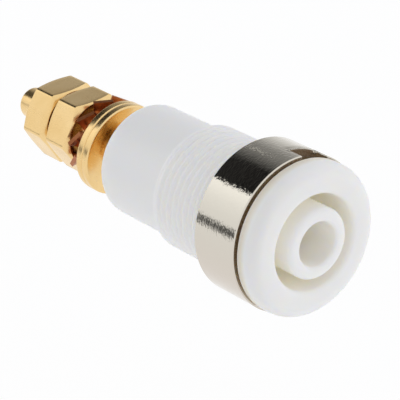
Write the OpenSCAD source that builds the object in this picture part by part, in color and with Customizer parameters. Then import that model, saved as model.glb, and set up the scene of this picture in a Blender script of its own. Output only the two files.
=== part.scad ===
// Shrouded 4 mm banana socket for panel mounting.
// The axis lies along Y, the plug enters towards +Y, and the origin is the centre of the collar's rear
// face, which seats on the panel. Lengths are in millimetres.

/* [Collar] */
// Step from the ring nut's wall down to the collar's
collar_inset = 0.15; // [0.05:0.05:0.4]
// Thickness of the front collar
collar_t = 2.2; // [1.6:0.1:6]
// Radius of the collar's front edge
collar_front_round = 1.2; // [0.3:0.1:1.5]
// Radius of the collar's rear edge
collar_rear_round = 0.3; // [0.1:0.05:0.5]

/* [Barrel] */
// Diameter over the thread of the panel barrel
thread_d = 12; // [11:0.1:13]
// Length of the threaded barrel behind the collar
thread_l = 12.9; // [8:0.1:30]
// Pitch of the barrel's thread
thread_pitch = 0.75; // [0.5:0.05:1.25]
// Depth of the barrel's thread
thread_depth = 0.25; // [0.1:0.05:0.5]
// Step from the thread's crest down to the smooth rear barrel
rear_step = 0.55; // [0.3:0.05:1]
// Length of the smooth rear barrel
rear_l = 9; // [6:0.1:20]
// Radius of the rear barrel's end edge
rear_round = 0.9; // [0.1:0.05:1.5]

/* [Guard tube] */
// Outer diameter of the guard tube round the contact
guard_d = 6.6; // [5.9:0.1:7.4]
// How far the guard tube stands out past the collar's front face
guard_proud = 0.35; // [0:0.05:1]
// Radius of the guard tube's outer lip
guard_round = 0.5; // [0.1:0.05:0.6]
// Diameter of the annular recess round the guard tube
recess_d = 8.9; // [7.4:0.1:9.4]
// Radius of the recess's outer rim
recess_round = 0.4; // [0.1:0.05:0.6]
// Thickness of the solid end behind the recess
recess_floor = 4.1; // [2:0.1:10]
// Radius of the bore's mouth
mouth_round = 0.3; // [0.05:0.05:0.5]

/* [Contact] */
// Diameter of the plug's bore
plug_bore_d = 4.1; // [3.9:0.05:4.5]
// Wall of the contact's socket tube
socket_wall = 0.45; // [0.3:0.05:0.6]
// Depth of the socket tube's front end behind the front face
socket_setback = 7; // [3:0.1:10]
// Metal left between the bore's end and the shoulder
socket_floor = 2; // [0.5:0.1:6]
// Step from the socket tube's wall out to the shoulder on the insulator's end
shoulder_step = 1.7; // [0.2:0.1:1.9]
// Thickness of the shoulder
shoulder_t = 0.6; // [0.3:0.1:1.5]
// Diameter over the thread of the terminal stud
stud_d = 4; // [3:0.1:4.4]
// Length of thread left free behind the outer nut
stud_free_l = 0.3; // [0.1:0.1:12]
// Step from the thread's crest down to the stud's plain tip
tip_step = 0.4; // [0.3:0.05:0.8]
// Length of the plain tip
tip_l = 3.8; // [1:0.1:10]
// Radius of the tip's end edge
tip_round = 0.4; // [0.1:0.05:1]

/* [Ring nut] */
// Wall of the ring nut round its thread
ring_wall = 1.2; // [0.8:0.1:4]
// Width of the ring nut
ring_w = 5.2; // [3:0.1:10]
// Bevel of the ring nut's edges
ring_bevel = 0.1; // [0.05:0.05:0.3]
// Distance of the ring nut behind the collar, as it is delivered
ring_gap = 0.2; // [0.2:0.05:2]
// Number of spanner slots
slot_count = 2; // [1:1:4]
// Width of a spanner slot
slot_w = 3; // [1:0.1:4]
// Depth of a spanner slot
slot_depth = 1.65; // [0.5:0.05:2.5]
// Turn of the first spanner slot from the right-hand side, towards the top
slot_turn = 75; // [0:1:359]

/* [Washers] */
// Distance from the insulator's end to the middle of the front washer, as delivered
stack_l = 3.85; // [2.6:0.05:8]
// Diameter of the plain washers
washer_d = 9.2; // [7:0.1:12]
// Thickness of a plain washer
washer_t = 0.8; // [0.5:0.05:1.5]
// Radius of a plain washer's edges
washer_round = 0.2; // [0.05:0.05:0.24]
// Lean of the loose plain washers on the stud
washer_lean = 9.6; // [7:0.1:10.5]
// Lean of the loose lock washer on the stud
lock_lean = 6.8; // [2:0.1:7]
// Side that the washers lean back on, from the right-hand side towards the top
lean_turn = 305; // [0:1:359]
// Diameter over the lock washer's teeth
lock_d = 8.4; // [7.4:0.1:9]
// Diameter at the roots of the lock washer's teeth
lock_root_d = 6; // [5.4:0.1:6.4]
// Sheet thickness of the lock washer
lock_t = 0.4; // [0.3:0.05:0.6]
// Number of teeth
tooth_count = 11; // [6:1:11]
// Width of a tooth
tooth_w = 1.9; // [1.2:0.1:2]
// Twist of a tooth out of the washer's plane
tooth_twist = 36; // [32:1:45]
// Turn of the first tooth from the right-hand side, towards the top
lock_turn = 0; // [0:0.1:60]

/* [Hex nuts] */
// Width of a nut across its flats
nut_flats = 7.2; // [6:0.1:10]
// Thickness of a nut
nut_t = 3.45; // [2:0.05:6]
// Share of the width across flats where a nut's chamfers start
nut_face = 0.95; // [0.85:0.01:0.99]
// Turn of the nuts' corners from the right-hand side, towards the top
nut_turn = 5.6; // [0:0.1:60]
// Distance between the lock washer and the inner nut, as delivered
inner_nut_gap = 0.05; // [0.05:0.05:2]
// Distance between the two nuts, as delivered
outer_nut_gap = 0.35; // [0.35:0.05:4]

/* [Clearances] */
// Radial running clearance of each thread
thread_gap = 0.05; // [0.01:0.01:0.1]
// Radial clearance of the contact in the insulator
socket_gap = 0.02; // [0.01:0.01:0.1]
// Radial clearance of the washers on the stud
washer_gap = 0.45; // [0.3:0.05:0.6]
// Clearance between washers that lie on each other
seat_gap = 0.02; // [0.01:0.01:0.05]

/* [Hidden] */
$fn = 96;

// How far a cut reaches past the face that it opens
over = 0.5;
// Chamfer angle of the nuts' ends
nut_chamfer = 30;
// Depth of the chamfer at each end of a nut's bore
bore_chamfer = 0.35;
// How far a tooth's root runs into the lock washer's ring
tooth_root = 0.3;
// Shares of the thread's pitch that are flat at the crest and at the root
crest_flat = 0.16;
root_flat = 0.16;

white = [0.92, 0.92, 0.93];
nickel = [0.78, 0.76, 0.72];
gold = [0.90, 0.74, 0.45];
copper = [0.62, 0.30, 0.16];

thread_r = thread_d / 2;
ring_hole_r = thread_r + thread_gap;
ring_r = ring_hole_r + ring_wall;
collar_r = ring_r - collar_inset;
rear_r = thread_r - rear_step;
bore_r = plug_bore_d / 2;
socket_r = bore_r + socket_wall;
shoulder_r = socket_r + shoulder_step;
washer_r = washer_d / 2;
lock_r = lock_d / 2;
nut_face_r = nut_face * nut_flats / 2;
stud_r = stud_d / 2;
tip_r = stud_r - tip_step;

// Clearance on the stud that a plain washer's lean takes up, and how far it hangs by the rest
lean_play = stud_r * (1 / cos(washer_lean) - 1) + washer_t / 2 * tan(washer_lean);
washer_hang = washer_gap - lean_play - thread_gap;

// Places along the axis, measured backwards from the collar's rear face
front_z = -collar_t;
guard_front_z = front_z - guard_proud;
socket_front_z = front_z + socket_setback;
body_end_z = thread_l + rear_l;
recess_end_z = body_end_z - recess_floor;
bore_end_z = body_end_z - socket_floor;
shoulder_end_z = body_end_z + shoulder_t;
front_washer_z = body_end_z + stack_l;
rear_washer_z = front_washer_z + (washer_t + seat_gap) / cos(washer_lean);
stack_end_z = rear_washer_z + washer_t / 2 / cos(washer_lean);
lock_h = tooth_w * sin(tooth_twist) + lock_t * cos(tooth_twist);
lock_half = lock_h / 2 / cos(lock_lean);
lock_z = stack_end_z + lock_r * (tan(washer_lean) - tan(lock_lean)) + lock_half + seat_gap;
inner_nut_z = lock_z + lock_half + nut_face_r * tan(lock_lean) + inner_nut_gap;
outer_nut_z = inner_nut_z + nut_t + outer_nut_gap;
tip_z = outer_nut_z + nut_t + stud_free_l;
stud_end_z = tip_z + tip_l;

// Turns a shape made along Z so that it runs along +Y
module along_axis() {
    rotate([-90, 0, 0]) children();
}

// Leans a loose piece back on the side that lean_turn gives
module leaning(angle) {
    rotate(a = angle, v = [-sin(lean_turn), 0, cos(lean_turn)]) children();
}

// Half section of a round band between two radii and two places on the axis
module band(inner_r, outer_r, z0, z1) {
    translate([inner_r, z0]) square([outer_r - inner_r, z1 - z0]);
}

// What a round of radius r takes off a section's corner at (x, z), where the material lies towards sx, sz
module corner_waste(x, z, sx, sz, r) {
    difference() {
        translate([x + sx * (r - over) / 2, z + sz * (r - over) / 2]) square(r + over, center = true);
        translate([x + sx * r, z + sz * r]) circle(r);
    }
}

// Round band whose two outer edges are rounded
module rounded_band(inner_r, outer_r, z0, z1, front_round, rear_round) {
    difference() {
        band(inner_r, outer_r, z0, z1);
        corner_waste(outer_r, z0, -1, 1, front_round);
        corner_waste(outer_r, z1, -1, -1, rear_round);
    }
}

// What the barrel's thread takes off its section: one ring groove for each turn, without the lead
module thread_waste() {
    crest = thread_pitch * (1 - crest_flat) / 2;
    root = thread_pitch * root_flat / 2;
    for (z = [thread_pitch : thread_pitch : thread_l - thread_pitch / 2]) translate([thread_r, z]) polygon([
        [over, -crest], [0, -crest], [-thread_depth, -root], [-thread_depth, root], [0, crest], [over, crest]
    ]);
}

// One white moulding: collar, guard tube in its recess, threaded barrel and smooth rear barrel
module insulator() {
    guard_r = guard_d / 2;
    recess_r = recess_d / 2;
    color(white) along_axis() rotate_extrude() difference() {
        union() {
            rounded_band(0, collar_r, front_z, 0, collar_front_round, collar_rear_round);
            difference() {
                band(0, thread_r, front_z + collar_front_round, thread_l);
                thread_waste();
            }
            band(0, guard_r, guard_front_z, 0);
            difference() {
                band(0, rear_r, 0, body_end_z);
                corner_waste(rear_r, body_end_z, -1, -1, rear_round);
            }
        }
        band(guard_r, recess_r, front_z - over, recess_end_z);
        corner_waste(recess_r, front_z, 1, 1, recess_round);
        corner_waste(guard_r, guard_front_z, -1, 1, guard_round);
        band(0, bore_r, guard_front_z - over, socket_front_z + over);
        corner_waste(bore_r, guard_front_z, 1, 1, mouth_round);
        band(0, socket_r + socket_gap, socket_front_z, body_end_z + over);
    }
}

// Turned contact: socket tube, shoulder that seats on the insulator's end, and terminal stud with a plain tip
module contact() {
    color(gold) along_axis() rotate_extrude() difference() {
        union() {
            band(0, socket_r, socket_front_z, shoulder_end_z);
            band(0, shoulder_r, body_end_z, shoulder_end_z);
            band(0, stud_r, body_end_z, tip_z);
            difference() {
                band(0, tip_r, body_end_z, stud_end_z);
                corner_waste(tip_r, stud_end_z, -1, -1, tip_round);
            }
        }
        band(0, bore_r, socket_front_z - over, bore_end_z);
    }
}

// Panel nut: a plain ring with bevelled edges and spanner slots in its front edge
module ring_nut() {
    color(nickel) along_axis() translate([0, 0, ring_gap]) difference() {
        rotate_extrude() polygon([
            [ring_hole_r + ring_bevel, 0],
            [ring_r - ring_bevel, 0],
            [ring_r, ring_bevel],
            [ring_r, ring_w - ring_bevel],
            [ring_r - ring_bevel, ring_w],
            [ring_hole_r + ring_bevel, ring_w],
            [ring_hole_r, ring_w - ring_bevel],
            [ring_hole_r, ring_bevel]
        ]);
        for (i = [0 : slot_count - 1]) rotate([0, 0, -slot_turn - i * 360 / slot_count])
            translate([0, -slot_w / 2, -over]) cube([ring_r + over, slot_w, slot_depth + over]);
    }
}

// Loose plain washer with softened edges that hangs and leans on the stud, its middle at z
module plain_washer(z) {
    color(gold) translate([0, z, -washer_hang]) leaning(washer_lean) along_axis() rotate_extrude()
        rounded_band(stud_r + washer_gap, washer_r, -washer_t / 2, washer_t / 2, washer_round, washer_round);
}

module front_washer() {
    plain_washer(front_washer_z);
}

module rear_washer() {
    plain_washer(rear_washer_z);
}

// Loose flat ring with outer teeth, each twisted about its own length so that it bites into both neighbours
module lock_washer() {
    root_r = lock_root_d / 2;
    tooth_l = lock_r - root_r + tooth_root;
    color(copper) translate([0, lock_z, 0]) leaning(lock_lean) along_axis() difference() {
        union() {
            cylinder(r = root_r, h = lock_t, center = true);
            for (i = [0 : tooth_count - 1]) rotate([0, 0, -lock_turn - i * 360 / tooth_count])
                translate([root_r - tooth_root + tooth_l / 2, 0, 0]) rotate([-tooth_twist, 0, 0])
                    cube([tooth_l, tooth_w, lock_t], center = true);
        }
        cylinder(r = stud_r + washer_gap, h = lock_h + over, center = true);
    }
}

// Hex nut with both ends chamfered, its front face at z
module hex_nut(z) {
    corner_r = nut_flats / 2 / cos(30);
    reach_r = corner_r + over;
    drop = (reach_r - nut_face_r) * tan(nut_chamfer);
    hole_r = stud_r + thread_gap;
    color(gold) along_axis() translate([0, 0, z]) difference() {
        intersection() {
            rotate([0, 0, -nut_turn]) cylinder(r = corner_r, h = nut_t, $fn = 6);
            rotate_extrude() polygon([
                [0, 0],
                [nut_face_r, 0],
                [reach_r, drop],
                [reach_r, nut_t - drop],
                [nut_face_r, nut_t],
                [0, nut_t]
            ]);
        }
        rotate_extrude() polygon([
            [0, -over],
            [hole_r + bore_chamfer, -over],
            [hole_r + bore_chamfer, 0],
            [hole_r, bore_chamfer],
            [hole_r, nut_t - bore_chamfer],
            [hole_r + bore_chamfer, nut_t],
            [hole_r + bore_chamfer, nut_t + over],
            [0, nut_t + over]
        ]);
    }
}

module inner_nut() {
    hex_nut(inner_nut_z);
}

module outer_nut() {
    hex_nut(outer_nut_z);
}

insulator();
contact();
ring_nut();
front_washer();
rear_washer();
lock_washer();
inner_nut();
outer_nut();
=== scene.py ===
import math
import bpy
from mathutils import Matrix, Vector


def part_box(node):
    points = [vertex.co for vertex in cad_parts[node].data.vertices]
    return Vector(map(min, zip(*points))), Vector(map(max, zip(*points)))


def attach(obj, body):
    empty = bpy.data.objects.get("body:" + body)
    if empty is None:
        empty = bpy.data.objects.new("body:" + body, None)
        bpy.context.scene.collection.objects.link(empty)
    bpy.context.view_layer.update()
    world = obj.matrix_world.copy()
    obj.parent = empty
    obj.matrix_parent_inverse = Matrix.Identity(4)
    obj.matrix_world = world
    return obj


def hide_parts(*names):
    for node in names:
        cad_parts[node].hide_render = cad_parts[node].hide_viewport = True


bl_info = {
    "name": "Shrouded banana socket",
    "version": (1, 0, 0),
    "blender": (4, 5, 0),
    "location": "3D View > Sidebar > Socket",
    "description": "Models and finishes the pieces of a panel-mounted banana socket and sets its stage",
    "category": "Object",
}

import bmesh
import bpy
from bpy.props import FloatProperty, FloatVectorProperty, IntProperty, PointerProperty
from mathutils import Matrix, Vector

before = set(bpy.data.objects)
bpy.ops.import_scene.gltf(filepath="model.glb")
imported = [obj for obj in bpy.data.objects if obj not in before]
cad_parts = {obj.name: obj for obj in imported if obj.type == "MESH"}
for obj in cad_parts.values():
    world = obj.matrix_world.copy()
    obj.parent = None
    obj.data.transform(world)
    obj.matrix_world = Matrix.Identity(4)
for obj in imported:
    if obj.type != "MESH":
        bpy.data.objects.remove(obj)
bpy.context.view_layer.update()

MM = 0.001
FULL_TURN = 2 * math.pi
# Points of a mesh that are closer than this are one
MERGE = 1e-7
# Edges that turn by more than this are shaded as sharp
SHARP = math.radians(35)


def span(node):
    """Front, rear and outer radius of a turned node, whose axis is the Y axis."""
    low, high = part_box(node)
    return low.y, high.y, high.x


GUARD_FRONT, BODY_REAR, COLLAR_R = span("insulator")
RING_FRONT, RING_REAR, RING_R = span("ring_nut")
SOCKET_FRONT, STUD_END, SHOULDER_R = span("contact")
OUTER_NUT_REAR = span("outer_nut")[1]


def middle(node):
    """Middle of a node's box."""
    low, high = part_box(node)
    return (low + high) / 2


def length(name, description, default):
    """A size that a user may change, given in millimetres."""
    return FloatProperty(name=name, description=description, default=default * MM, unit="LENGTH", min=0.0)


def offset(name, description, default):
    """A distance to either side that a user may change, given in millimetres."""
    return FloatProperty(name=name, description=description, default=default * MM, unit="LENGTH")


def angle(name, description, degrees):
    """An angle that a user may change, given in degrees."""
    return FloatProperty(name=name, description=description, default=math.radians(degrees), subtype="ANGLE")


def colour(name, description, default):
    """A linear colour that a user may change."""
    return FloatVectorProperty(
        name=name, description=description, default=default, subtype="COLOR", size=3, min=0.0, max=1.0
    )


class SocketSizes(bpy.types.PropertyGroup):
    collar_thickness: length("Collar thickness", "Thickness of the front collar", 2.2)
    collar_round: length("Collar round", "Round of the collar's front edge", 1.2)
    collar_rear_round: length("Collar rear round", "Round of the collar's rear edge", 0.3)
    thread_radius: length("Thread radius", "Radius over the barrel's thread", 6.0)
    thread_end: length("Thread end", "Where the barrel's thread ends behind the panel face", 12.9)
    thread_pitch: length("Thread pitch", "Pitch of the barrel's thread", 0.75)
    thread_depth: length("Thread depth", "Depth of the barrel's thread", 0.2)
    thread_step: length("Thread step", "Round of the step behind the barrel's thread", 0.08)
    fine_round: length("Fine round", "Round of the finest edges", 0.05)
    rear_radius: length("Rear radius", "Radius of the smooth rear barrel", 5.45)
    rear_round: length("Rear round", "Round of the rear barrel's end", 0.9)
    recess_radius: length("Recess radius", "Radius of the recess round the guard tube", 4.45)
    recess_end: length("Recess end", "Where the recess ends behind the panel face", 17.8)
    recess_round: length("Recess round", "Round of the recess's front edge", 0.4)
    recess_floor: length("Recess floor", "Round at the bottom of the recess", 0.2)
    guard_radius: length("Guard radius", "Outer radius of the guard tube", 3.3)
    guard_round: length("Guard round", "Round of the guard tube's front edge", 0.5)
    bore_radius: length("Bore radius", "Radius of the plug's bore", 2.05)
    bore_round: length("Bore round", "Round of the bore's front edge", 0.3)
    socket_radius: length("Socket radius", "Outer radius of the contact's socket tube", 2.5)
    bore_end: length("Bore end", "End of the plug's bore behind the panel face", 19.9)
    stud_radius: length("Stud radius", "Radius over the stud's thread", 2.0)
    stud_pitch: length("Stud pitch", "Pitch of the stud's thread", 0.7)
    stud_depth: length("Stud depth", "Depth of the stud's thread", 0.3)
    stud_free: length("Free thread", "Thread left free behind the outer nut", 0.3)
    tip_radius: length("Tip radius", "Radius of the stud's plain tip", 1.6)
    tip_round: length("Tip round", "Round of the tip's end", 0.4)
    stud_round: length("Stud round", "Round of the stud's steps and of the shoulder", 0.1)
    thread_gap: length("Thread clearance", "Radial clearance of a nut on its thread", 0.05)
    washer_gap: length("Washer clearance", "Radial clearance of a washer on the stud", 0.45)
    washer_radius: length("Washer radius", "Outer radius of a plain washer", 4.6)
    washer_thickness: length("Washer thickness", "Thickness of a plain washer", 0.8)
    washer_round: length("Washer round", "Round of a plain washer's outer edges", 0.2)
    washer_lean: angle("Washer lean", "Lean of the plain washers", 9.6)
    lean_turn: angle("Lean turn", "Side that washers lean back on", 305)
    shoulder: length("Shoulder", "Thickness of the contact's shoulder", 0.6)
    ring_bevel: length("Ring bevel", "Bevel of the ring nut's edges", 0.1)
    slot_width: length("Slot width", "Width of a spanner slot", 3.0)
    slot_depth: length("Slot depth", "Depth of a spanner slot", 1.65)
    slot_bevel: length("Slot bevel", "Bevel of a slot's rear edge on the outside", 0.25)
    slot_turn: angle("Slot turn", "Turn of the first slot", 75)
    nut_flats: length("Nut flats", "Width of a hex nut across its flats", 7.2)
    nut_countersink: length("Countersink", "Depth and width of the nuts' countersinks", 0.35)
    nut_turn: angle("Nut turn", "Turn of the nuts' corners", 5.6)
    tooth_count: IntProperty(name="Teeth", description="Number of lock washer teeth", default=11, min=3)
    tooth_width: length("Tooth width", "Width of a lock washer tooth", 1.9)
    tooth_twist: angle("Tooth twist", "Twist of a tooth", 36)
    tooth_turn: angle("Tooth turn", "Turn of the first tooth", 0.0)
    lock_root: length("Tooth root", "Radius at the roots of the teeth", 3.0)
    lock_tip: length("Tooth tip", "Radius at the tips of the teeth", 4.2)
    lock_overlap: length("Tooth overlap", "Length of a tooth inside the washer's ring", 0.3)
    lock_round: length("Lock round", "Round of the lock washer's edges", 0.06)
    lock_lean: angle("Lock lean", "Lean of the lock washer", 6.8)
    seat_gap: length("Seat clearance", "Clearance between washers that lie on each other", 0.02)
    lock_sheet: length("Lock sheet", "Sheet thickness of the lock washer", 0.4)


class SocketFinishes(bpy.types.PropertyGroup):
    plastic: colour("Plastic", "White of the insulator", (0.99, 0.975, 0.93))
    plastic_shade: colour("Plastic shade", "Slightly darker white in its mottling", (0.985, 0.965, 0.915))
    # Painted warm reflection: the ring's warm light painted into the white of the collar's edge beside it
    plastic_ring_bounce: colour("Warm plastic", "White of the collar's edge beside the ring", (0.87, 0.79, 0.66))
    plastic_glow: colour("Plastic glow", "Light through the walls of the recess", (0.0158, 0.0165, 0.0135))
    nickel: colour("Nickel", "Nickel plating", (0.67, 0.635, 0.56))
    # Painted warm reflection: the nickel is painted warmer towards the bottom of the ring
    nickel_low_reflection: colour("Warm nickel", "Nickel plating low on the ring", (0.64, 0.58, 0.51))
    # Partly tarnish, partly painted shade: brown on the ring's front in the gap to the collar and in the
    # slots
    tarnish_and_shade: colour("Tarnish", "Brown on the nickel's front and in its slots", (0.20, 0.14, 0.09))
    gold: colour("Gold", "Gold plating", (0.90, 0.66, 0.33))
    gold_shade: colour("Gold shade", "Darker gold in its mottling", (0.82, 0.57, 0.25))
    # Painted shade: brown on the inner nut's front face behind the lock washer and on the front washer's face
    # near the insulator
    gold_painted_shade: colour("Gold stain", "Brown of the gold on hidden faces", (0.42, 0.26, 0.09))
    copper: colour("Copper", "Copper-coloured sheet", (0.52, 0.21, 0.09))
    copper_shade: colour("Copper shade", "Tarnish on the sheet", (0.36, 0.12, 0.045))


class SocketStage(bpy.types.PropertyGroup):
    azimuth: angle("Azimuth", "Camera's turn round the part", -38.85)
    elevation: angle("Elevation", "Camera's height angle", 24.12)
    distance: length("Distance", "Camera's distance from the part", 182.5)
    target: length("Target", "Point on the axis that the camera is set by", 12.8)
    slide_right: offset("Slide right", "Camera's sideways offset", -0.493)
    slide_up: offset("Slide up", "Camera's upward offset", -1.051)
    lens: FloatProperty(name="Lens", description="Focal length in millimetres", default=181.1, min=1.0)
    floor: offset("Floor", "Height of the floor", -30)


# Outlines


def rounded_outline(corners, arc_steps=8):
    """Points of a closed outline.

    Each corner is (radius, place, round, rows). Rows cut the edge after it, and the last two may be left out.
    """
    corners = [corner + (0.0, 1)[len(corner) - 2 :] for corner in corners]
    points = []
    count = len(corners)
    ends = []
    for i, (x, y, turn_r, _) in enumerate(corners):
        here = Vector((x, y))
        if turn_r == 0:
            ends.append((here, here, [here]))
            continue
        before = (Vector(corners[i - 1][:2]) - here).normalized()
        after = (Vector(corners[(i + 1) % count][:2]) - here).normalized()
        half = before.angle(after) / 2
        reach = turn_r / math.tan(half)
        centre = here + (before + after).normalized() * turn_r / math.sin(half)
        start, end = here + before * reach - centre, here + after * reach - centre
        sweep_angle = start.angle_signed(end)
        turns = [Matrix.Rotation(-sweep_angle * k / arc_steps, 2) for k in range(arc_steps + 1)]
        arc = [centre + turn @ start for turn in turns]
        ends.append((arc[0], arc[-1], arc))
    for i, (_, last, arc) in enumerate(ends):
        points += arc
        rows = corners[i][3]
        following = ends[(i + 1) % count][0]
        points += [last.lerp(following, k / rows) for k in range(1, rows)]
    return [(p.x, p.y) for p in points]


def swept(name, outline_at, columns):
    """Closed mesh object whose section at each angle round the Y axis is outline_at(angle)."""
    vertices, faces = [], []
    for column in range(columns):
        angle = FULL_TURN * column / columns
        outline = outline_at(angle)
        vertices += [(r * math.cos(angle), y, r * math.sin(angle)) for r, y in outline]
    rows = len(vertices) // columns
    for column in range(columns):
        here, beside = column * rows, (column + 1) % columns * rows
        for row in range(rows):
            above = (row + 1) % rows
            faces.append((here + row, here + above, beside + above, beside + row))
    return added(name, vertices, faces)


def placed(name, data):
    """Object in the scene for a mesh, a lamp or a camera."""
    made = bpy.data.objects.new(name, data)
    bpy.context.scene.collection.objects.link(made)
    return made


def added(name, vertices, faces):
    """Mesh object in the scene, with doubles merged and faces pointing outwards."""
    mesh = bpy.data.meshes.new(name)
    mesh.from_pydata(vertices, [], faces)
    made = bmesh.new()
    made.from_mesh(mesh)
    bmesh.ops.remove_doubles(made, verts=made.verts, dist=MERGE)
    bmesh.ops.dissolve_degenerate(made, edges=made.edges, dist=MERGE / 10)
    bmesh.ops.recalc_face_normals(made, faces=made.faces)
    made.to_mesh(mesh)
    made.free()
    return placed(name, mesh)


def baked(piece):
    """Turns a piece's modifiers into its plain mesh."""
    graph = bpy.context.evaluated_depsgraph_get()
    mesh = bpy.data.meshes.new_from_object(piece.evaluated_get(graph), depsgraph=graph)
    piece.modifiers.clear()
    old = piece.data
    piece.data = mesh
    mesh.name = piece.name
    bpy.data.meshes.remove(old)


def finished(piece, material, body, slot, *nodes):
    """Shades a piece, gives it its finish and ties it to the frame."""
    mesh = piece.data
    mesh.materials.clear()
    mesh.materials.append(material)
    mesh.shade_smooth()
    mesh.set_sharp_from_angle(angle=SHARP)
    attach(piece, body)
    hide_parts(*nodes)


# Node trees


class Tree:
    """Small help for writing a node tree as formulas."""

    def __init__(self, tree):
        self.nodes = tree.nodes
        self.links = tree.links

    def feed(self, socket, value):
        if isinstance(value, bpy.types.NodeSocket):
            self.links.new(value, socket)
        elif value is not None:
            socket.default_value = value

    def fill(self, node, inputs):
        """Feeds a node's inputs by name or number."""
        for key, value in inputs.items():
            self.feed(node.inputs[key], value)

    def add(self, kind, inputs=None, output=0, **settings):
        """Adds a node, feeds its inputs by name or number, and gives one output."""
        node = self.nodes.new(kind)
        for key, value in settings.items():
            setattr(node, key, value)
        self.fill(node, inputs or {})
        return node.outputs[output]

    def math(self, operation, a, b=None):
        return self.add("ShaderNodeMath", {0: a, 1: b}, operation=operation)

    def times(self, a, b):
        return self.math("MULTIPLY", a, b)

    def vector(self, operation, a, b=None, output=0):
        return self.add("ShaderNodeVectorMath", {0: a, 1: b}, output, operation=operation)

    def ramp(self, value, from_low, from_high, to_low=0.0, to_high=1.0):
        """Clamped straight-line map of a value."""
        ends = {"From Min": from_low, "From Max": from_high, "To Min": to_low, "To Max": to_high}
        return self.add("ShaderNodeMapRange", {"Value": value, **ends})


def node_tree(name, numbers, counts=()):
    """Geometry node group with its tree and inputs: a geometry, numbers, whole numbers and a finish."""
    group = bpy.data.node_groups.new(name, "GeometryNodeTree")
    kinds = {"Geometry": "Geometry", **dict.fromkeys(numbers, "Float"), **dict.fromkeys(counts, "Int")}
    for label, kind in {**kinds, "Finish": "Material"}.items():
        group.interface.new_socket(label, in_out="INPUT", socket_type="NodeSocket" + kind)
    group.interface.new_socket("Geometry", in_out="OUTPUT", socket_type="NodeSocketGeometry")
    return group, Tree(group), group.nodes.new("NodeGroupInput").outputs


def turned_parts(tree, place):
    """Parts of a place: x, y and z, the vector away from the Y axis and that vector's length."""
    x, y, z = tree.add("ShaderNodeSeparateXYZ", {0: place}).node.outputs
    flat = tree.add("ShaderNodeCombineXYZ", {"X": x, "Z": z})
    radius = tree.vector("LENGTH", flat, output="Value")
    return x, y, z, flat, radius


def close_tree(tree, geometry, material):
    """Ends a tree in Realize Instances and Set Material."""
    realized = tree.add("GeometryNodeRealizeInstances", {"Geometry": geometry})
    dressed = tree.add("GeometryNodeSetMaterial", {"Geometry": realized, "Material": material})
    tree.fill(tree.nodes.new("NodeGroupOutput"), {"Geometry": dressed})


def apply_tree(piece, group, values):
    """Runs a geometry node tree on a piece with the given named inputs."""
    modifier = piece.modifiers.new(group.name, "NODES")
    modifier.node_group = group
    names = {item.name: item.identifier for item in group.interface.items_tree if item.in_out == "INPUT"}
    for label, value in values.items():
        modifier[names[label]] = value


# A thread's crest and root, as shares of its pitch from the crest's middle
CREST, ROOT = 0.08, 0.42
# How far from its radius a wall's points may lie
WALL_TOLERANCE = 0.01 * MM
# Share of a lock washer tooth that takes up its twist
TWIST_SHARE = 0.45


def thread_tree():
    """Cuts a helical thread into the part of a round wall that has the given radius."""
    if "Helical thread" in bpy.data.node_groups:
        return bpy.data.node_groups["Helical thread"]
    labels = ("Radius", "Start", "End", "Pitch", "Depth", "Runout")
    group, tree, source = node_tree("Helical thread", labels)
    x, y, z, flat, radius = turned_parts(tree, tree.add("GeometryNodeInputPosition"))
    outward = tree.vector("NORMALIZE", flat)
    turns = tree.math("DIVIDE", tree.math("ARCTAN2", z, x), FULL_TURN)
    phase = tree.math("SUBTRACT", tree.math("DIVIDE", y, source["Pitch"]), turns)
    wave = tree.math("PINGPONG", phase, 0.5)
    groove = tree.ramp(wave, CREST, ROOT)
    rise = tree.ramp(y, source["Start"], tree.math("ADD", source["Start"], source["Runout"]))
    fall = tree.ramp(y, tree.math("SUBTRACT", source["End"], source["Runout"]), source["End"], 1.0, 0.0)
    runout = tree.times(rise, fall)
    cut = tree.times(runout, tree.times(groove, source["Depth"]))
    inward = tree.times(cut, -1.0)
    shift = tree.add("ShaderNodeVectorMath", {0: outward, "Scale": inward}, operation="SCALE")
    on_wall = tree.math("COMPARE", radius, source["Radius"])
    on_wall.node.inputs[2].default_value = WALL_TOLERANCE
    moved = tree.add(
        "GeometryNodeSetPosition", {"Geometry": source["Geometry"], "Selection": on_wall, "Offset": shift}
    )
    close_tree(tree, moved, source["Finish"])
    return group


def cut_thread(piece, radius, ends, pitch, depth, material):
    """Cuts a thread into a piece between two places and makes it plain mesh."""
    values = {"Radius": radius, "Start": ends[0], "End": ends[1], "Pitch": pitch, "Depth": depth}
    apply_tree(piece, thread_tree(), {**values, "Runout": pitch, "Finish": material})
    baked(piece)


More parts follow.
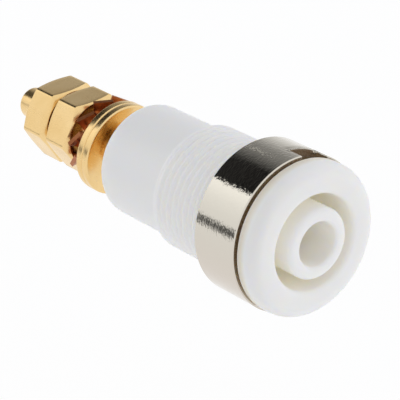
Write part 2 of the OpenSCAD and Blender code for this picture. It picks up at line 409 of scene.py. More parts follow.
def tooth_tree():
    """Ring of twisted teeth round the Y axis, joined to the flat ring that comes in."""
    labels = ("Root", "Tip", "Width", "Sheet", "Twist", "Turn")
    group, tree, source = node_tree("Lock washer teeth", labels, ("Teeth",))
    reach = tree.math("SUBTRACT", source["Tip"], source["Root"])
    size = tree.add("ShaderNodeCombineXYZ", {"X": reach, "Y": source["Sheet"], "Z": source["Width"]})
    block = tree.add(
        "GeometryNodeMeshCube", {"Size": size, "Vertices X": 9, "Vertices Y": 3, "Vertices Z": 7}
    )
    place = tree.add("GeometryNodeInputPosition")
    along = tree.add("ShaderNodeSeparateXYZ", {0: place}, output="X")
    share = tree.math("ADD", tree.math("DIVIDE", along, reach), 0.5)
    angle = tree.times(tree.ramp(share, 0.0, TWIST_SHARE), source["Twist"])
    turned = tree.add("ShaderNodeVectorRotate", {"Vector": place, "Angle": angle}, rotation_type="X_AXIS")
    twisted = tree.add("GeometryNodeSetPosition", {"Geometry": block, "Position": turned})
    reach_middle = tree.times(tree.math("ADD", source["Tip"], source["Root"]), 0.5)
    step = tree.math("DIVIDE", FULL_TURN, source["Teeth"])
    index = tree.add("GeometryNodeInputIndex")
    spin = tree.math("ADD", tree.times(index, step), source["Turn"])
    across = tree.times(reach_middle, tree.math("COSINE", spin))
    upward = tree.times(reach_middle, tree.math("SINE", spin))
    spot = tree.add("ShaderNodeCombineXYZ", {"X": across, "Z": upward})
    points = tree.add("GeometryNodePoints", {"Count": source["Teeth"], "Position": spot})
    facing = tree.add("ShaderNodeCombineXYZ", {"Y": tree.times(spin, -1.0)})
    teeth = tree.add(
        "GeometryNodeInstanceOnPoints", {"Points": points, "Instance": twisted, "Rotation": facing}
    )
    both = group.nodes.new("GeometryNodeJoinGeometry")
    group.links.new(source["Geometry"], both.inputs[0])
    group.links.new(teeth, both.inputs[0])
    close_tree(tree, both.outputs[0], source["Finish"])
    return group


# Finishes

# Stretch of scuffs and scratches along each axis
SCUFF_STRETCH = (1.0, 0.12, 1.0)
SCRATCH_STRETCH = (1.0, 2.5, 1.0)
# Noises of the nickel: specks in its brown of tarnish and painted shade, drawn scratches, and flecks with the
# levels where they show
SPECKS = {"Scale": 9000.0, "Detail": 2.0, "Roughness": 0.6}
SCRATCHES = {"Scale": 3000.0, "Detail": 1.5, "Roughness": 0.5}
FLECKS = {"Scale": 5500.0, "Detail": 0.5, "Roughness": 0.5}
FLECK_LEVELS = (0.68, 0.76)
FLECK_GAIN = 0.3
# Streak of flecks on the ring nut: middle, half width, and shares of length along each axis
STREAK_PLACE = (-1.5 * MM, 4.3 * MM, 7.1 * MM)
STREAK_HALF = 0.45 * MM
STREAK_SHARES = (1.0, 0.13, 1.0)
# Burrs of the slots: height against the scratches, and how they fade from the edge, sideways and inwards
BURR_HEIGHT = 6.0
BURR_EDGE = (0.05 * MM, 0.3 * MM)
BURR_SIDE = 0.3 * MM
BURR_LOW, BURR_HIGH = 0.4 * MM, 0.15 * MM
# Painted shade on the front washer's face next to the insulator's rear: middle, and the distances where it is
# full and where it ends
SHADE_SPOT_PLACE = (-1.9 * MM, 24.85 * MM, 1.9 * MM)
SHADE_SPOT_EDGE = (0.4 * MM, 1.6 * MM)
# Between which heights, places along the axis and radii the painted light and shade change: where the painted
# shade on the ring's front fades out, where the ring turns to its painted warm reflection, where the collar's
# edge takes the painted warm reflection of the ring, and where the painted glow inside the recess lies and
# ends
SHADE_FADE_HEIGHTS = (-5 * MM, 0.0)
LOW_REFLECTION_HEIGHTS = (-3 * MM, 2 * MM)
BOUNCE_PLACES = (-1.1 * MM, -0.5 * MM)
BOUNCE_RADII = (6.3 * MM, 6.6 * MM)
GLOW_PLACES = (-1.8 * MM, 2 * MM)
GLOW_EDGE = 0.2 * MM
# Roughness of each finish, clean and worn, and the height of its bumps
PLASTIC_ROUGHNESS, PLASTIC_BUMP = (0.40, 0.50), 0.006 * MM
NICKEL_ROUGHNESS, NICKEL_BUMP = (0.06, 0.55), 0.016 * MM
GOLD_ROUGHNESS, GOLD_BUMP = (0.24, 0.30), 0.0004 * MM
COPPER_ROUGHNESS, COPPER_BUMP = (0.28, 0.42), 0.002 * MM
PLASTIC_SCALES = {"Mottle scale": 220.0, "Grain scale": 5200.0}
# How far light spreads under the plastic's surface, and the share of that for each colour
PLASTIC_SPREAD = 1.2 * MM
SPREAD_SHARES = (1.0, 0.9, 0.7)
BLACK = (0.0, 0.0, 0.0)


def surface_group():
    """Shared shader group: soft mottling, fine grain and scuffs that run one way."""
    if "Handled surface" in bpy.data.node_groups:
        return bpy.data.node_groups["Handled surface"]
    group = bpy.data.node_groups.new("Handled surface", "ShaderNodeTree")
    group.interface.new_socket("Vector", in_out="INPUT", socket_type="NodeSocketVector")
    for label, default in (("Mottle scale", 300.0), ("Grain scale", 6000.0), ("Scuff scale", 2500.0)):
        socket = group.interface.new_socket(label, in_out="INPUT", socket_type="NodeSocketFloat")
        socket.default_value = default
    for label in ("Mottle", "Grain", "Scuff"):
        group.interface.new_socket(label, in_out="OUTPUT", socket_type="NodeSocketFloat")
    tree = Tree(group)
    source = group.nodes.new("NodeGroupInput").outputs
    output = group.nodes.new("NodeGroupOutput")
    vector = source["Vector"]

    def noise(place, scale, **settings):
        return tree.add("ShaderNodeTexNoise", {"Vector": place, "Scale": source[scale], **settings})

    mottle = noise(vector, "Mottle scale", Detail=3.0)
    grain = noise(vector, "Grain scale", Detail=2.0)
    drawn = tree.add("ShaderNodeMapping", {"Vector": vector, "Scale": SCUFF_STRETCH})
    strokes = noise(drawn, "Scuff scale", Detail=4.0, Roughness=0.7, Distortion=0.6)
    scuff = tree.ramp(strokes, 0.52, 0.72)
    for label, value in (("Mottle", tree.ramp(mottle, 0.3, 0.7)), ("Grain", grain), ("Scuff", scuff)):
        group.links.new(value, output.inputs[label])
    return group


def handled_surface(tree, place):
    """Node of the shared surface group, fed by a place."""
    surface = tree.nodes.new("ShaderNodeGroup")
    surface.node_tree = surface_group()
    tree.feed(surface.inputs["Vector"], place)
    return surface


def new_material(name):
    """Material with nodes, and its tree."""
    material = bpy.data.materials.new(name)
    material.use_nodes = True
    return material, Tree(material.node_tree)


def new_finish(name, metallic=0.0):
    """Material with its tree, its shader and its object coordinates."""
    material, tree = new_material(name)
    shader = tree.nodes["Principled BSDF"]
    shader.inputs["Metallic"].default_value = metallic
    return material, tree, shader, tree.add("ShaderNodeTexCoord", output="Object")


# A colour mix shares its sockets' names with the number and vector mixes, so they go by place
MIX_A, MIX_B, MIX_RESULT = 6, 7, 2


def colour_mix(tree, share, first, second):
    """Colour that runs from first to second with share."""
    mix = tree.nodes.new("ShaderNodeMix")
    mix.data_type = "RGBA"
    tree.feed(mix.inputs[0], share)
    for place, value in ((MIX_A, first), (MIX_B, second)):
        tree.feed(mix.inputs[place], value if isinstance(value, bpy.types.NodeSocket) else (*value, 1.0))
    return mix.outputs[MIX_RESULT]


def near(tree, place, spot, full, none, shares=(1.0, 1.0, 1.0)):
    """1 within full of a spot and 0 beyond none, with the distance taken in shares along each axis."""
    away = tree.vector("SUBTRACT", place, spot)
    shared = tree.vector("MULTIPLY", away, shares)
    return tree.ramp(tree.vector("LENGTH", shared, output="Value"), full, none, 1.0, 0.0)


def bumped(tree, shader, height, distance, strength):
    """Feeds a shader's normal from a height."""
    bump = tree.add("ShaderNodeBump", {"Strength": strength, "Distance": distance, "Height": height})
    tree.feed(shader.inputs["Normal"], bump)


def plastic_finish(finishes, size):
    """Satin white moulded plastic, a little translucent, with a painted warm reflection of the ring on the
    collar's rear edge and a painted glow inside the recess.
    """
    material, tree, shader, place = new_finish("Insulator plastic")
    surface = handled_surface(tree, place)
    tree.fill(surface, PLASTIC_SCALES)
    mottle = surface.outputs["Mottle"]
    bumped(tree, shader, surface.outputs["Grain"], PLASTIC_BUMP, 0.25)
    _, y, _, _, radius = turned_parts(tree, place)
    base = colour_mix(tree, mottle, finishes.plastic, finishes.plastic_shade)
    # Painted warm reflection of the nickel ring on the collar's rear edge, and a painted glow on the recess
    # walls
    painted_ring_bounce = tree.times(tree.ramp(y, *BOUNCE_PLACES), tree.ramp(radius, *BOUNCE_RADII))
    within = tree.ramp(radius, size.recess_radius, size.recess_radius + GLOW_EDGE, 1.0, 0.0)
    inside = tree.times(within, tree.ramp(y, *GLOW_PLACES))
    inputs = {
        "Base Color": colour_mix(tree, painted_ring_bounce, base, finishes.plastic_ring_bounce),
        "Roughness": tree.ramp(mottle, 0.0, 1.0, *PLASTIC_ROUGHNESS),
        "Emission Color": colour_mix(tree, inside, BLACK, finishes.plastic_glow),
        "Emission Strength": 1.0,
        "Subsurface Weight": 1.0,
        "Subsurface Radius": SPREAD_SHARES,
        "Subsurface Scale": PLASTIC_SPREAD,
    }
    tree.fill(shader, inputs)
    return material


def metal_finish(name, colours, roughness, bump):
    """Plated or bare metal with mottled colour, painted shade on marked faces and round a spot by the front
    washer, scuffs and a fine grain.

    The colours are the plain, the mottled and the darker one of the painted shade, and the roughness is the
    clean and the worn.
    """
    material, tree, shader, place = new_finish(name, 1.0)
    surface = handled_surface(tree, place)
    plain, mottled, stain_and_shade = colours
    # Painted shade on marked forward faces and round a spot on the front washer's face
    shadowed = tree.add("ShaderNodeAttribute", output="Fac", attribute_name="recess")
    painted_shade = tree.math("MAXIMUM", shadowed, near(tree, place, SHADE_SPOT_PLACE, *SHADE_SPOT_EDGE))
    clean = colour_mix(tree, surface.outputs["Mottle"], plain, mottled)
    base = colour_mix(tree, painted_shade, clean, stain_and_shade)
    scuff = surface.outputs["Scuff"]
    tree.fill(shader, {"Base Color": base, "Roughness": tree.ramp(scuff, 0.0, 1.0, *roughness)})
    height = tree.math("ADD", scuff, tree.times(surface.outputs["Grain"], 0.6))
    bumped(tree, shader, height, bump, 0.3)
    return material


def burr(tree, place, size):
    """1 along the rear edges of the ring nut's spanner slots, 0 away from them."""
    _, y, _, _, radius = turned_parts(tree, place)
    outside = tree.ramp(radius, RING_R - BURR_LOW, RING_R - BURR_HIGH)
    sideways = (-math.sin(size.slot_turn), 0.0, math.cos(size.slot_turn))
    dot = tree.vector("DOT_PRODUCT", place, sideways, output="Value")
    half = size.slot_width / 2
    in_slot = tree.ramp(tree.math("ABSOLUTE", dot), half, half + BURR_SIDE, 1.0, 0.0)
    away = tree.math("ABSOLUTE", tree.math("SUBTRACT", y, RING_FRONT + size.slot_depth))
    at_edge = tree.ramp(away, *BURR_EDGE, 1.0, 0.0)
    return tree.times(tree.times(in_slot, at_edge), outside)


def nickel_finish(finishes, size):
    """Polished nickel with drawn scratches, a streak of flecks, burred slots, a painted warm reflection
    towards the bottom, and brown on its front that is partly tarnish and partly painted shade.
    """
    material, tree, shader, place = new_finish("Polished nickel", 1.0)
    above = tree.add("ShaderNodeSeparateXYZ", {0: place}, output="Z")
    front = tree.add("ShaderNodeAttribute", output="Fac", attribute_name="recess")
    specks = tree.add("ShaderNodeTexNoise", {"Vector": place, **SPECKS})
    # Brown on forward faces: partly tarnish, partly painted shade in the gap to the collar and in the slots;
    # it fades out towards the bottom as painted shade
    stain_and_shade = tree.times(tree.ramp(above, *SHADE_FADE_HEIGHTS), tree.ramp(specks, 0.4, 0.6, 0.5, 1.0))
    tarnished_and_shaded = tree.times(front, stain_and_shade)
    # Painted warm reflection: the nickel runs warmer towards the bottom of the ring
    clean = colour_mix(tree, tree.ramp(above, *LOW_REFLECTION_HEIGHTS), finishes.nickel_low_reflection, finishes.nickel)
    base = colour_mix(tree, tarnished_and_shaded, clean, finishes.tarnish_and_shade)
    drawn = tree.add("ShaderNodeMapping", {"Vector": place, "Scale": SCRATCH_STRETCH})
    scratches = tree.add("ShaderNodeTexNoise", {"Vector": drawn, **SCRATCHES})
    edge = burr(tree, place, size)
    streak = near(tree, place, STREAK_PLACE, 0.0, STREAK_HALF, STREAK_SHARES)
    spot = tree.math("MAXIMUM", streak, edge)
    flecks = tree.add("ShaderNodeTexNoise", {"Vector": place, **FLECKS})
    raised = tree.math("ADD", flecks, tree.times(spot, FLECK_GAIN))
    patch = tree.times(tree.ramp(raised, *FLECK_LEVELS), tree.ramp(spot, 0.0, 0.3))
    worn = tree.math("ADD", patch, tarnished_and_shaded)
    worn.node.use_clamp = True
    tree.fill(shader, {"Base Color": base, "Roughness": tree.ramp(worn, 0.0, 1.0, *NICKEL_ROUGHNESS)})
    burrs = tree.times(tree.times(flecks, edge), BURR_HEIGHT)
    bumped(tree, shader, tree.math("ADD", scratches, burrs), NICKEL_BUMP, 1.0)
    return material


def finish(name):
    """One of the socket's finishes, made on first use."""
    if name in bpy.data.materials:
        return bpy.data.materials[name]
    finishes = bpy.context.scene.socket_finishes
    size = bpy.context.scene.socket_sizes
    if name == "Insulator plastic":
        return plastic_finish(finishes, size)
    if name == "Polished nickel":
        return nickel_finish(finishes, size)
    if name == "Gold plating":
        colours = (finishes.gold, finishes.gold_shade, finishes.gold_painted_shade)
        return metal_finish(name, colours, GOLD_ROUGHNESS, GOLD_BUMP)
    colours = (finishes.copper, finishes.copper_shade, finishes.copper_shade)
    return metal_finish(name, colours, COPPER_ROUGHNESS, COPPER_BUMP)


# Pieces

# Columns round each turned piece
BARREL_COLUMNS = 192
RING_COLUMNS = 196
NUT_COLUMNS = 180
WASHER_COLUMNS = 128
STUD_COLUMNS = 96
# Rows along a long plain wall, and along each turn of a thread
WALL_ROWS = 6
BARREL_ROWS = 12
STUD_ROWS = 10
# Lengths at the front and rear of the barrel that have no thread
THREAD_FRONT = 0.2 * MM
THREAD_REAR = 0.1 * MM


class SOCKET_OT_insulator(bpy.types.Operator):
    """Mould the white insulator with its collar, guard tube, threaded barrel and rear barrel"""

    bl_idname = "socket.insulator"
    bl_label = "Insulator"

    def execute(self, context):
        size = context.scene.socket_sizes
        thread_rows = round(BARREL_ROWS * size.thread_end / size.thread_pitch)
        outline = rounded_outline(
            [
                (size.bore_radius, GUARD_FRONT, size.bore_round),
                (size.guard_radius, GUARD_FRONT, size.guard_round, WALL_ROWS),
                (size.guard_radius, size.recess_end, size.recess_floor),
                (size.recess_radius, size.recess_end, size.recess_floor, WALL_ROWS),
                (size.recess_radius, -size.collar_thickness, size.recess_round),
                (COLLAR_R, -size.collar_thickness, size.collar_round),
                (COLLAR_R, 0.0, size.collar_rear_round),
                (size.thread_radius, 0.0, 0.0, thread_rows),
                (size.thread_radius, size.thread_end, size.thread_step),
                (size.rear_radius, size.thread_end, size.fine_round, WALL_ROWS),
                (size.rear_radius, BODY_REAR, size.rear_round),
                (size.socket_radius, BODY_REAR),
                (size.socket_radius, SOCKET_FRONT),
                (size.bore_radius, SOCKET_FRONT),
            ]
        )
        piece = swept("insulator_moulding", lambda angle: outline, BARREL_COLUMNS)
        plastic = finish("Insulator plastic")
        ends = (THREAD_FRONT, size.thread_end - THREAD_REAR)
        cut_thread(piece, size.thread_radius, ends, size.thread_pitch, size.thread_depth, plastic)
        finished(piece, plastic, "socket_body", "insulator_plastic", "insulator")
        return {"FINISHED"}


class SOCKET_OT_contact(bpy.types.Operator):
    """Turn the gold contact with its socket tube, shoulder and threaded stud"""

    bl_idname = "socket.contact"
    bl_label = "Contact"

    def execute(self, context):
        size = context.scene.socket_sizes
        thread_end = OUTER_NUT_REAR + size.stud_free
        shoulder_rear = BODY_REAR + size.shoulder
        stud_rows = round(STUD_ROWS * (thread_end - shoulder_rear) / size.stud_pitch)
        outline = rounded_outline(
            [
                (0.0, size.bore_end),
                (size.bore_radius, size.bore_end),
                (size.bore_radius, SOCKET_FRONT, size.fine_round),
                (size.socket_radius, SOCKET_FRONT, size.fine_round),
                (size.socket_radius, BODY_REAR),
                (SHOULDER_R, BODY_REAR, size.stud_round),
                (SHOULDER_R, shoulder_rear, size.stud_round),
                (size.stud_radius, shoulder_rear, 0.0, stud_rows),
                (size.stud_radius, thread_end, size.stud_round),
                (size.tip_radius, thread_end, size.stud_round),
                (size.tip_radius, STUD_END, size.tip_round),
                (0.0, STUD_END),
            ]
        )
        piece = swept("contact_turning", lambda angle: outline, STUD_COLUMNS)
        gold = finish("Gold plating")
        ends = (shoulder_rear, thread_end)
        cut_thread(piece, size.stud_radius, ends, size.stud_pitch, size.stud_depth, gold)
        finished(piece, gold, "socket_body", "gold_plate", "contact")
        return {"FINISHED"}


# Faces look forward when their normal's part along the axis is below this
FORWARD = -0.9
# Painted shade on the floors of the spanner slots, against the brown on the ring's front
SLOT_SHADE = 1.7
# How far a point may lie from a slot's walls and floor, and from the ring's outside, to count as on them
SLOT_TOLERANCE = 0.002 * MM
OUTSIDE_TOLERANCE = 0.02 * MM
# Edges of the slots that turn by more than this are bevelled, those along the axis by a share of the rear one
BEVEL_ANGLE = math.radians(25)
BEVEL_SHARE = 0.4


def mark_front(piece, sunk_from=math.inf, sunk=1.0):
    """Marks the faces that look forward for painted shade, which on the ring is partly tarnish too, and the
    sunk ones more strongly.
    """
    levels = []
    for face in piece.data.polygons:
        level = sunk if face.center.y > sunk_from else 1.0
        levels.append(level if face.normal.y < FORWARD else 0.0)
    piece.data.attributes.new("recess", "FLOAT", "FACE").data.foreach_set("value", levels)


def weigh_edges(piece, size, floor):
    """Gives a bevel weight to the spanner slots' edges on the outside of the ring."""
    cos_t, sin_t = math.cos(size.slot_turn), math.sin(size.slot_turn)

    def at_rear(corner):
        return abs(corner.co.y - floor) < SLOT_TOLERANCE

    def on_slot(corner):
        across = abs(corner.co.z * cos_t - corner.co.x * sin_t)
        on_wall = abs(across - size.slot_width / 2) < SLOT_TOLERANCE
        outside = math.hypot(corner.co.x, corner.co.z) > RING_R - OUTSIDE_TOLERANCE
        return outside and (on_wall or at_rear(corner))

    made = bmesh.new()
    made.from_mesh(piece.data)
    weight = made.edges.layers.float.new("bevel_weight_edge")
    for edge in made.edges:
        if edge.calc_face_angle(0.0) > BEVEL_ANGLE and all(map(on_slot, edge.verts)):
            edge[weight] = 1.0 if all(map(at_rear, edge.verts)) else BEVEL_SHARE
    made.to_mesh(piece.data)
    made.free()


def block(low, high):
    """Box object between two corners, used as a cutter."""
    corners = [(x, y, z) for x in (low[0], high[0]) for y in (low[1], high[1]) for z in (low[2], high[2])]
    faces = [(0, 1, 3, 2), (4, 6, 7, 5), (0, 4, 5, 1), (2, 3, 7, 6), (0, 2, 6, 4), (1, 5, 7, 3)]
    return added("cutter", corners, faces)


class SOCKET_OT_ring_nut(bpy.types.Operator):
    """Turn the nickel ring nut and cut its spanner slots"""

    bl_idname = "socket.ring_nut"
    bl_label = "Ring nut"

    def execute(self, context):
        size = context.scene.socket_sizes
        hole = size.thread_radius + size.thread_gap
        bevel = size.ring_bevel
        outline = rounded_outline(
            [
                (hole + bevel, RING_FRONT),
                (RING_R - bevel, RING_FRONT),
                (RING_R, RING_FRONT + bevel, 0.0, 4),
                (RING_R, RING_REAR - bevel),
                (RING_R - bevel, RING_REAR),
                (hole + bevel, RING_REAR),
                (hole, RING_REAR - bevel),
                (hole, RING_FRONT + bevel),
            ]
        )
        piece = swept("panel_ring", lambda angle: outline, RING_COLUMNS)
        half = size.slot_width / 2
        # A slot's wall stands halfway between two columns, which leaves room for its bevel
        column = FULL_TURN / RING_COLUMNS
        wall = (size.slot_turn - math.asin(half / RING_R)) / column
        piece.data.transform(Matrix.Rotation(-(wall % 1.0 - 0.5) * column, 4, "Y"))
        floor = RING_FRONT + size.slot_depth
        cutters = []
        for side in range(2):
            cutter = block((0.0, RING_FRONT - MM, -half), (2 * RING_R, floor, half))
            cutter.data.transform(Matrix.Rotation(-size.slot_turn - side * math.pi, 4, "Y"))
            cut = piece.modifiers.new("slot", "BOOLEAN")
            cut.object = cutter
            cut.solver = "EXACT"
            cutters.append(cutter)
        baked(piece)
        for cutter in cutters:
            bpy.data.objects.remove(cutter)
        weigh_edges(piece, size, floor)
        soften = piece.modifiers.new("edges", "BEVEL")
        soften.limit_method = "WEIGHT"
        soften.width = size.slot_bevel
        soften.segments = 2
        baked(piece)
        # Painted shade: the sunk slot floors take the brown more strongly than the ring's front
        mark_front(piece, floor - bevel, SLOT_SHADE)
        finished(piece, finish("Polished nickel"), "panel_nut", "nickel_plate", "ring_nut")
        return {"FINISHED"}


def leaning(place, angle, turn):
    """Place of a loose washer that leans back on the side that turn gives."""
    hinge = Vector((-math.sin(turn), 0.0, math.cos(turn)))
    return Matrix.Translation(place) @ Matrix.Rotation(angle, 4, hinge)


class SOCKET_OT_plain_washers(bpy.types.Operator):
    """Turn the two plain gold washers"""

    bl_idname = "socket.plain_washers"
    bl_label = "Plain washers"

    def execute(self, context):
        size = context.scene.socket_sizes
        hole = size.stud_radius + size.washer_gap
        half = size.washer_thickness / 2
        corners = [
            (hole, -half, size.fine_round),
            (size.washer_radius, -half, size.washer_round),
            (size.washer_radius, half, size.washer_round),
            (hole, half, size.fine_round),
        ]
        outline = rounded_outline(corners, 5)
        for node in ("front_washer", "rear_washer"):
            piece = swept("plain_" + node, lambda angle: outline, WASHER_COLUMNS)
            piece.data.transform(leaning(middle(node), size.washer_lean, size.lean_turn))
            finished(piece, finish("Gold plating"), "socket_body", "gold_plate", node)
        return {"FINISHED"}


class SOCKET_OT_lock_washer(bpy.types.Operator):
    """Stamp the lock washer and twist its teeth"""

    bl_idname = "socket.lock_washer"
    bl_label = "Lock washer"

    def execute(self, context):
        size = context.scene.socket_sizes
        half = size.lock_sheet / 2
        hole = size.stud_radius + size.washer_gap
        sides = ((hole, -half), (size.lock_root, -half), (size.lock_root, half), (hole, half))
        outline = rounded_outline([(r, y, size.lock_round) for r, y in sides], 3)
        piece = swept("tooth_washer", lambda angle: outline, STUD_COLUMNS)
        copper = finish("Copper sheet")
        apply_tree(
            piece,
            tooth_tree(),
            {
                "Teeth": size.tooth_count,
                "Root": size.lock_root - size.lock_overlap,
                "Tip": size.lock_tip,
                "Width": size.tooth_width,
                "Sheet": size.lock_sheet,
                "Twist": -size.tooth_twist,
                "Turn": size.tooth_turn,
                "Finish": copper,
            },
        )
        baked(piece)
        piece.data.transform(leaning((0.0, self.place(size), 0.0), size.lock_lean, size.lean_turn))
        finished(piece, copper, "socket_body", "bronze", "lock_washer")
        return {"FINISHED"}

    def place(self, size):
        """Where the lock washer's middle stands when its teeth touch the leaning plain washer."""
        stack_end = middle("rear_washer").y + size.washer_thickness / 2 / math.cos(size.washer_lean)
        twist = size.tooth_twist
        height = size.tooth_width * math.sin(twist) + size.lock_sheet * math.cos(twist)
        slope = math.tan(size.washer_lean) - math.tan(size.lock_lean)
        return stack_end + size.lock_tip * slope + height / 2 / math.cos(size.lock_lean) + size.seat_gap


# Radius of a nut's flat end, as a share of half its flats, and the slope of its chamfer
NUT_FACE = 0.95
NUT_CHAMFER = math.tan(math.radians(30))
# Rows along a nut's bore and along its flats
BORE_ROWS, FLAT_ROWS = 30, 6


def hex_outline(size, front, rear):
    """Gives the section of a hex nut with chamfered ends at any angle round its axis."""
    hole = size.stud_radius + size.thread_gap
    half_flats = size.nut_flats / 2
    face = NUT_FACE * half_flats
    sink, turn_r = size.nut_countersink, size.fine_round
    sixth = FULL_TURN / 6

    def outline_at(angle):
        off_flat = (angle - size.nut_turn) % sixth - sixth / 2
        reach = min(half_flats / math.cos(off_flat), half_flats / math.cos(sixth / 2) - turn_r)
        drop = (reach - face) * NUT_CHAMFER
        corners = [
            (hole, front + sink, 0.0, BORE_ROWS),
            (hole, rear - sink),
            (hole + sink, rear),
            (face, rear, turn_r),
            (reach, rear - drop, turn_r, FLAT_ROWS),
            (reach, front + drop, turn_r),
            (face, front, turn_r),
            (hole + sink, front),
        ]
        return rounded_outline(corners, 4)

    return outline_at


class SOCKET_OT_hex_nuts(bpy.types.Operator):
    """Form the two hex nuts on the stud"""

    bl_idname = "socket.hex_nuts"
    bl_label = "Hex nuts"

    def execute(self, context):
        size = context.scene.socket_sizes
        gold = finish("Gold plating")
        for node, body in (("inner_nut", "clamp_nut"), ("outer_nut", "terminal_nut")):
            front, rear, _ = span(node)
            piece = swept("hex_" + node, hex_outline(size, front, rear), NUT_COLUMNS)
            # Painted shade on the inner nut's front face, between the lock washer's teeth
            if node == "inner_nut":
                mark_front(piece)
            finished(piece, gold, body, "gold_plate", node)
        return {"FINISHED"}


# Stage

# Soft light of the surroundings and of the floor: tint and level
SOFT_LIGHT = {"Color": (0.97, 0.975, 1.0, 1.0), "Strength": 0.595}
FLOOR_LIGHT = {"Color": (0.98, 0.985, 1.0, 1.0), "Strength": 0.82}
WHITE = (1.0, 1.0, 1.0, 1.0)
# Floor as the camera sees it: the grey that takes shadows, and the glow that makes it white
FLOOR_GREY = (0.2, 0.2, 0.2, 1.0)
FLOOR_GLOW = 0.84
FLOOR_HALF = 4.0
# Lamps: place, aim, size, power and tint
LAMPS = {
    "key": ((0.45, -0.4, 0.15), (0.0, 0.0, 0.0), 0.3, 0.8, (0.97, 0.98, 1.0)),
    "top": ((-0.1, 0.35, 0.47), (0.0, 0.01, 0.0), 0.4, 0.6, (0.92, 0.95, 1.0)),
}
# Cards that the metal mirrors: at each stop an angle in degrees and the level of the near and the far part.
# The ceiling runs from a light side on the right over a dark top to a bright side on the left.
CEILING = (
    (0, 0.9, 0.95),
    (20, 0.68, 0.75),
    (45, 0.28, 0.47),
    (60, 0.22, 0.33),
    (85, 0.012, 0.06),
    (124, 0.01, 0.05),
    (127, 1.3, 1.3),
    (150, 1.1, 1.1),
    (170, 1.0, 1.0),
)
# The strip at the side is dark where the ring nut mirrors it and fainter where the gold end does
SIDE_STRIP = ((177, 1.0, 1.0), (181, 0.12, 0.5), (188, 0.12, 0.5), (193, 1.0, 1.0))
# Each card's distance from the axis, the places where its two parts begin and end, and its stops
CARDS = {
    "ceiling_card": (0.5, (0.15, 0.47, 0.62, 4.0), CEILING),
    "side_strip": (0.12, (0.03, 0.138, 0.146, 0.5), SIDE_STRIP),
}
# Degrees that one face of a card spans at most
CARD_STEP = 4
BOUNCES = 24
GLOSSY_BOUNCES = 12


def add_camera(stage):
    cos_e, sin_e = math.cos(stage.elevation), math.sin(stage.elevation)
    back = Vector((math.sin(stage.azimuth) * cos_e, -math.cos(stage.azimuth) * cos_e, sin_e))
    right = Vector((math.cos(stage.azimuth), math.sin(stage.azimuth), 0.0))
    up = back.cross(right)
    data = bpy.data.cameras.new("camera")
    data.sensor_width = 36.0
    data.lens = stage.lens
    data.clip_start = 0.01
    data.clip_end = 20.0
    camera = placed("camera", data)
    camera.matrix_world = Matrix((right, up, back)).transposed().to_4x4()
    place = Vector((0.0, stage.target, 0.0)) + back * stage.distance + right * stage.slide_right
    camera.location = place + up * stage.slide_up
    bpy.context.scene.camera = camera


def seen_directly(tree):
    """1 for rays that show the background itself: camera, glossy and transmission rays."""
    path = tree.nodes.new("ShaderNodeLightPath")
    first = tree.math("ADD", path.outputs["Is Camera Ray"], path.outputs["Is Glossy Ray"])
    seen = tree.math("ADD", first, path.outputs["Is Transmission Ray"])
    seen.node.use_clamp = True
    return seen


def add_world():
    world = bpy.data.worlds.new("studio")
    world.use_nodes = True
    tree = Tree(world.node_tree)
    tree.nodes.clear()
    soft = tree.add("ShaderNodeBackground", SOFT_LIGHT)
    white = tree.add("ShaderNodeBackground", {"Color": WHITE, "Strength": 1.0})
    both = tree.add("ShaderNodeMixShader", {0: seen_directly(tree), 1: soft, 2: white})
    tree.fill(tree.nodes.new("ShaderNodeOutputWorld"), {"Surface": both})
    bpy.context.scene.world = world


def add_floor(stage):
    half = FLOOR_HALF
    corners = [(-half, -half), (half, -half), (half, half), (-half, half)]
    mesh = bpy.data.meshes.new("floor")
    mesh.from_pydata([(x, y, stage.floor) for x, y in corners], [], [(0, 1, 2, 3)])
    floor = placed("floor", mesh)
    material, tree = new_material("Pale floor")
    tree.nodes.clear()
    plain = tree.add("ShaderNodeEmission", FLOOR_LIGHT)
    shaded = tree.add("ShaderNodeBsdfDiffuse", {"Color": FLOOR_GREY})
    glow = tree.add("ShaderNodeEmission", {"Color": WHITE, "Strength": FLOOR_GLOW})
    lit = tree.add("ShaderNodeAddShader", {0: shaded, 1: glow})
    both = tree.add("ShaderNodeMixShader", {0: seen_directly(tree), 1: plain, 2: lit})
    tree.fill(tree.nodes.new("ShaderNodeOutputMaterial"), {"Surface": both})
    floor.data.materials.append(material)


def add_area_light(name, place, aim, size, power, tint):
    data = bpy.data.lights.new(name, "AREA")
    data.shape = "SQUARE"
    data.size = size
    data.energy = power
    data.color = tint
    light = placed(name, data)
    light.location = place
    light.rotation_euler = (Vector(aim) - Vector(place)).to_track_quat("-Z", "Y").to_euler()
    light.visible_glossy = False


def card_finish():
    """Glow whose level comes from the card's own points."""
    if "Dark card" in bpy.data.materials:
        return bpy.data.materials["Dark card"]
    material, tree = new_material("Dark card")
    tree.nodes.clear()
    level = tree.add("ShaderNodeAttribute", output="Fac", attribute_name="level")
    glow = tree.add("ShaderNodeEmission", {"Color": WHITE, "Strength": level})
    tree.fill(tree.nodes.new("ShaderNodeOutputMaterial"), {"Surface": glow})
    return material


def add_card(name, reach, places, stops):
    """Card curved round the axis that only polished metal mirrors."""
    vertices, levels, faces = [], [], []
    for (first, *first_levels), (second, *second_levels) in zip(stops, stops[1:]):
        steps = math.ceil((second - first) / CARD_STEP)
        for step in range(steps + 1):
            share = step / steps
            angle = math.radians(first + (second - first) * share)
            near_part, far_part = (a + (b - a) * share for a, b in zip(first_levels, second_levels))
            levels += [near_part, near_part, far_part, far_part]
            vertices += [(reach * math.cos(angle), y, reach * math.sin(angle)) for y in places]
    across = len(places)
    for row in range(len(vertices) // across - 1):
        for column in range(across - 1):
            corner = row * across + column
            faces.append((corner, corner + 1, corner + across + 1, corner + across))
    mesh = bpy.data.meshes.new(name)
    mesh.from_pydata(vertices, [], faces)
    mesh.attributes.new("level", "FLOAT", "POINT").data.foreach_set("value", levels)
    mesh.materials.append(card_finish())
    card = placed(name, mesh)
    card.visible_camera = False
    card.visible_diffuse = False
    card.visible_shadow = False
    card.visible_transmission = False


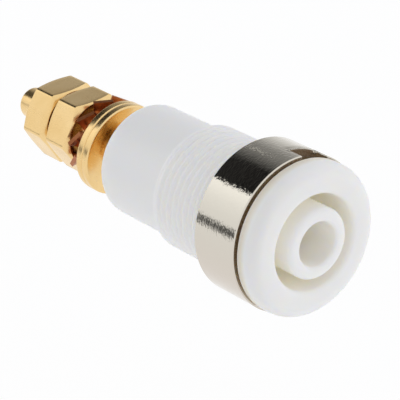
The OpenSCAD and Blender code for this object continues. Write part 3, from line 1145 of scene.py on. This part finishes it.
class SOCKET_OT_stage(bpy.types.Operator):
    """Set the camera, the white surroundings, the lights and the cards that the metal mirrors"""

    bl_idname = "socket.stage"
    bl_label = "Stage"

    def execute(self, context):
        stage = context.scene.socket_stage
        add_camera(stage)
        add_world()
        add_floor(stage)
        for name, lamp in LAMPS.items():
            add_area_light(name, *lamp)
        for name, card in CARDS.items():
            add_card(name, *card)
        context.scene.cycles.max_bounces = BOUNCES
        context.scene.cycles.diffuse_bounces = BOUNCES
        context.scene.cycles.glossy_bounces = GLOSSY_BOUNCES
        context.scene.view_settings.view_transform = "Standard"
        return {"FINISHED"}


OPERATORS = (
    SOCKET_OT_insulator,
    SOCKET_OT_contact,
    SOCKET_OT_ring_nut,
    SOCKET_OT_plain_washers,
    SOCKET_OT_lock_washer,
    SOCKET_OT_hex_nuts,
    SOCKET_OT_stage,
)


class SOCKET_PT_pieces(bpy.types.Panel):
    """Buttons for the socket's pieces and the stage"""

    bl_idname = "SOCKET_PT_pieces"
    bl_label = "Banana socket"
    bl_space_type = "VIEW_3D"
    bl_region_type = "UI"
    bl_category = "Socket"

    def draw(self, context):
        for operator in OPERATORS:
            self.layout.operator(operator.bl_idname)


CLASSES = (SocketSizes, SocketFinishes, SocketStage, *OPERATORS, SOCKET_PT_pieces)


def register():
    for item in CLASSES:
        bpy.utils.register_class(item)
    bpy.types.Scene.socket_sizes = PointerProperty(type=SocketSizes)
    bpy.types.Scene.socket_finishes = PointerProperty(type=SocketFinishes)
    bpy.types.Scene.socket_stage = PointerProperty(type=SocketStage)


def unregister():
    del bpy.types.Scene.socket_stage
    del bpy.types.Scene.socket_finishes
    del bpy.types.Scene.socket_sizes
    for item in reversed(CLASSES):
        bpy.utils.unregister_class(item)


def main():
    register()
    bpy.ops.socket.insulator()
    bpy.ops.socket.contact()
    bpy.ops.socket.ring_nut()
    bpy.ops.socket.plain_washers()
    bpy.ops.socket.lock_washer()
    bpy.ops.socket.hex_nuts()
    bpy.ops.socket.stage()


if __name__ == "__main__":
    main()
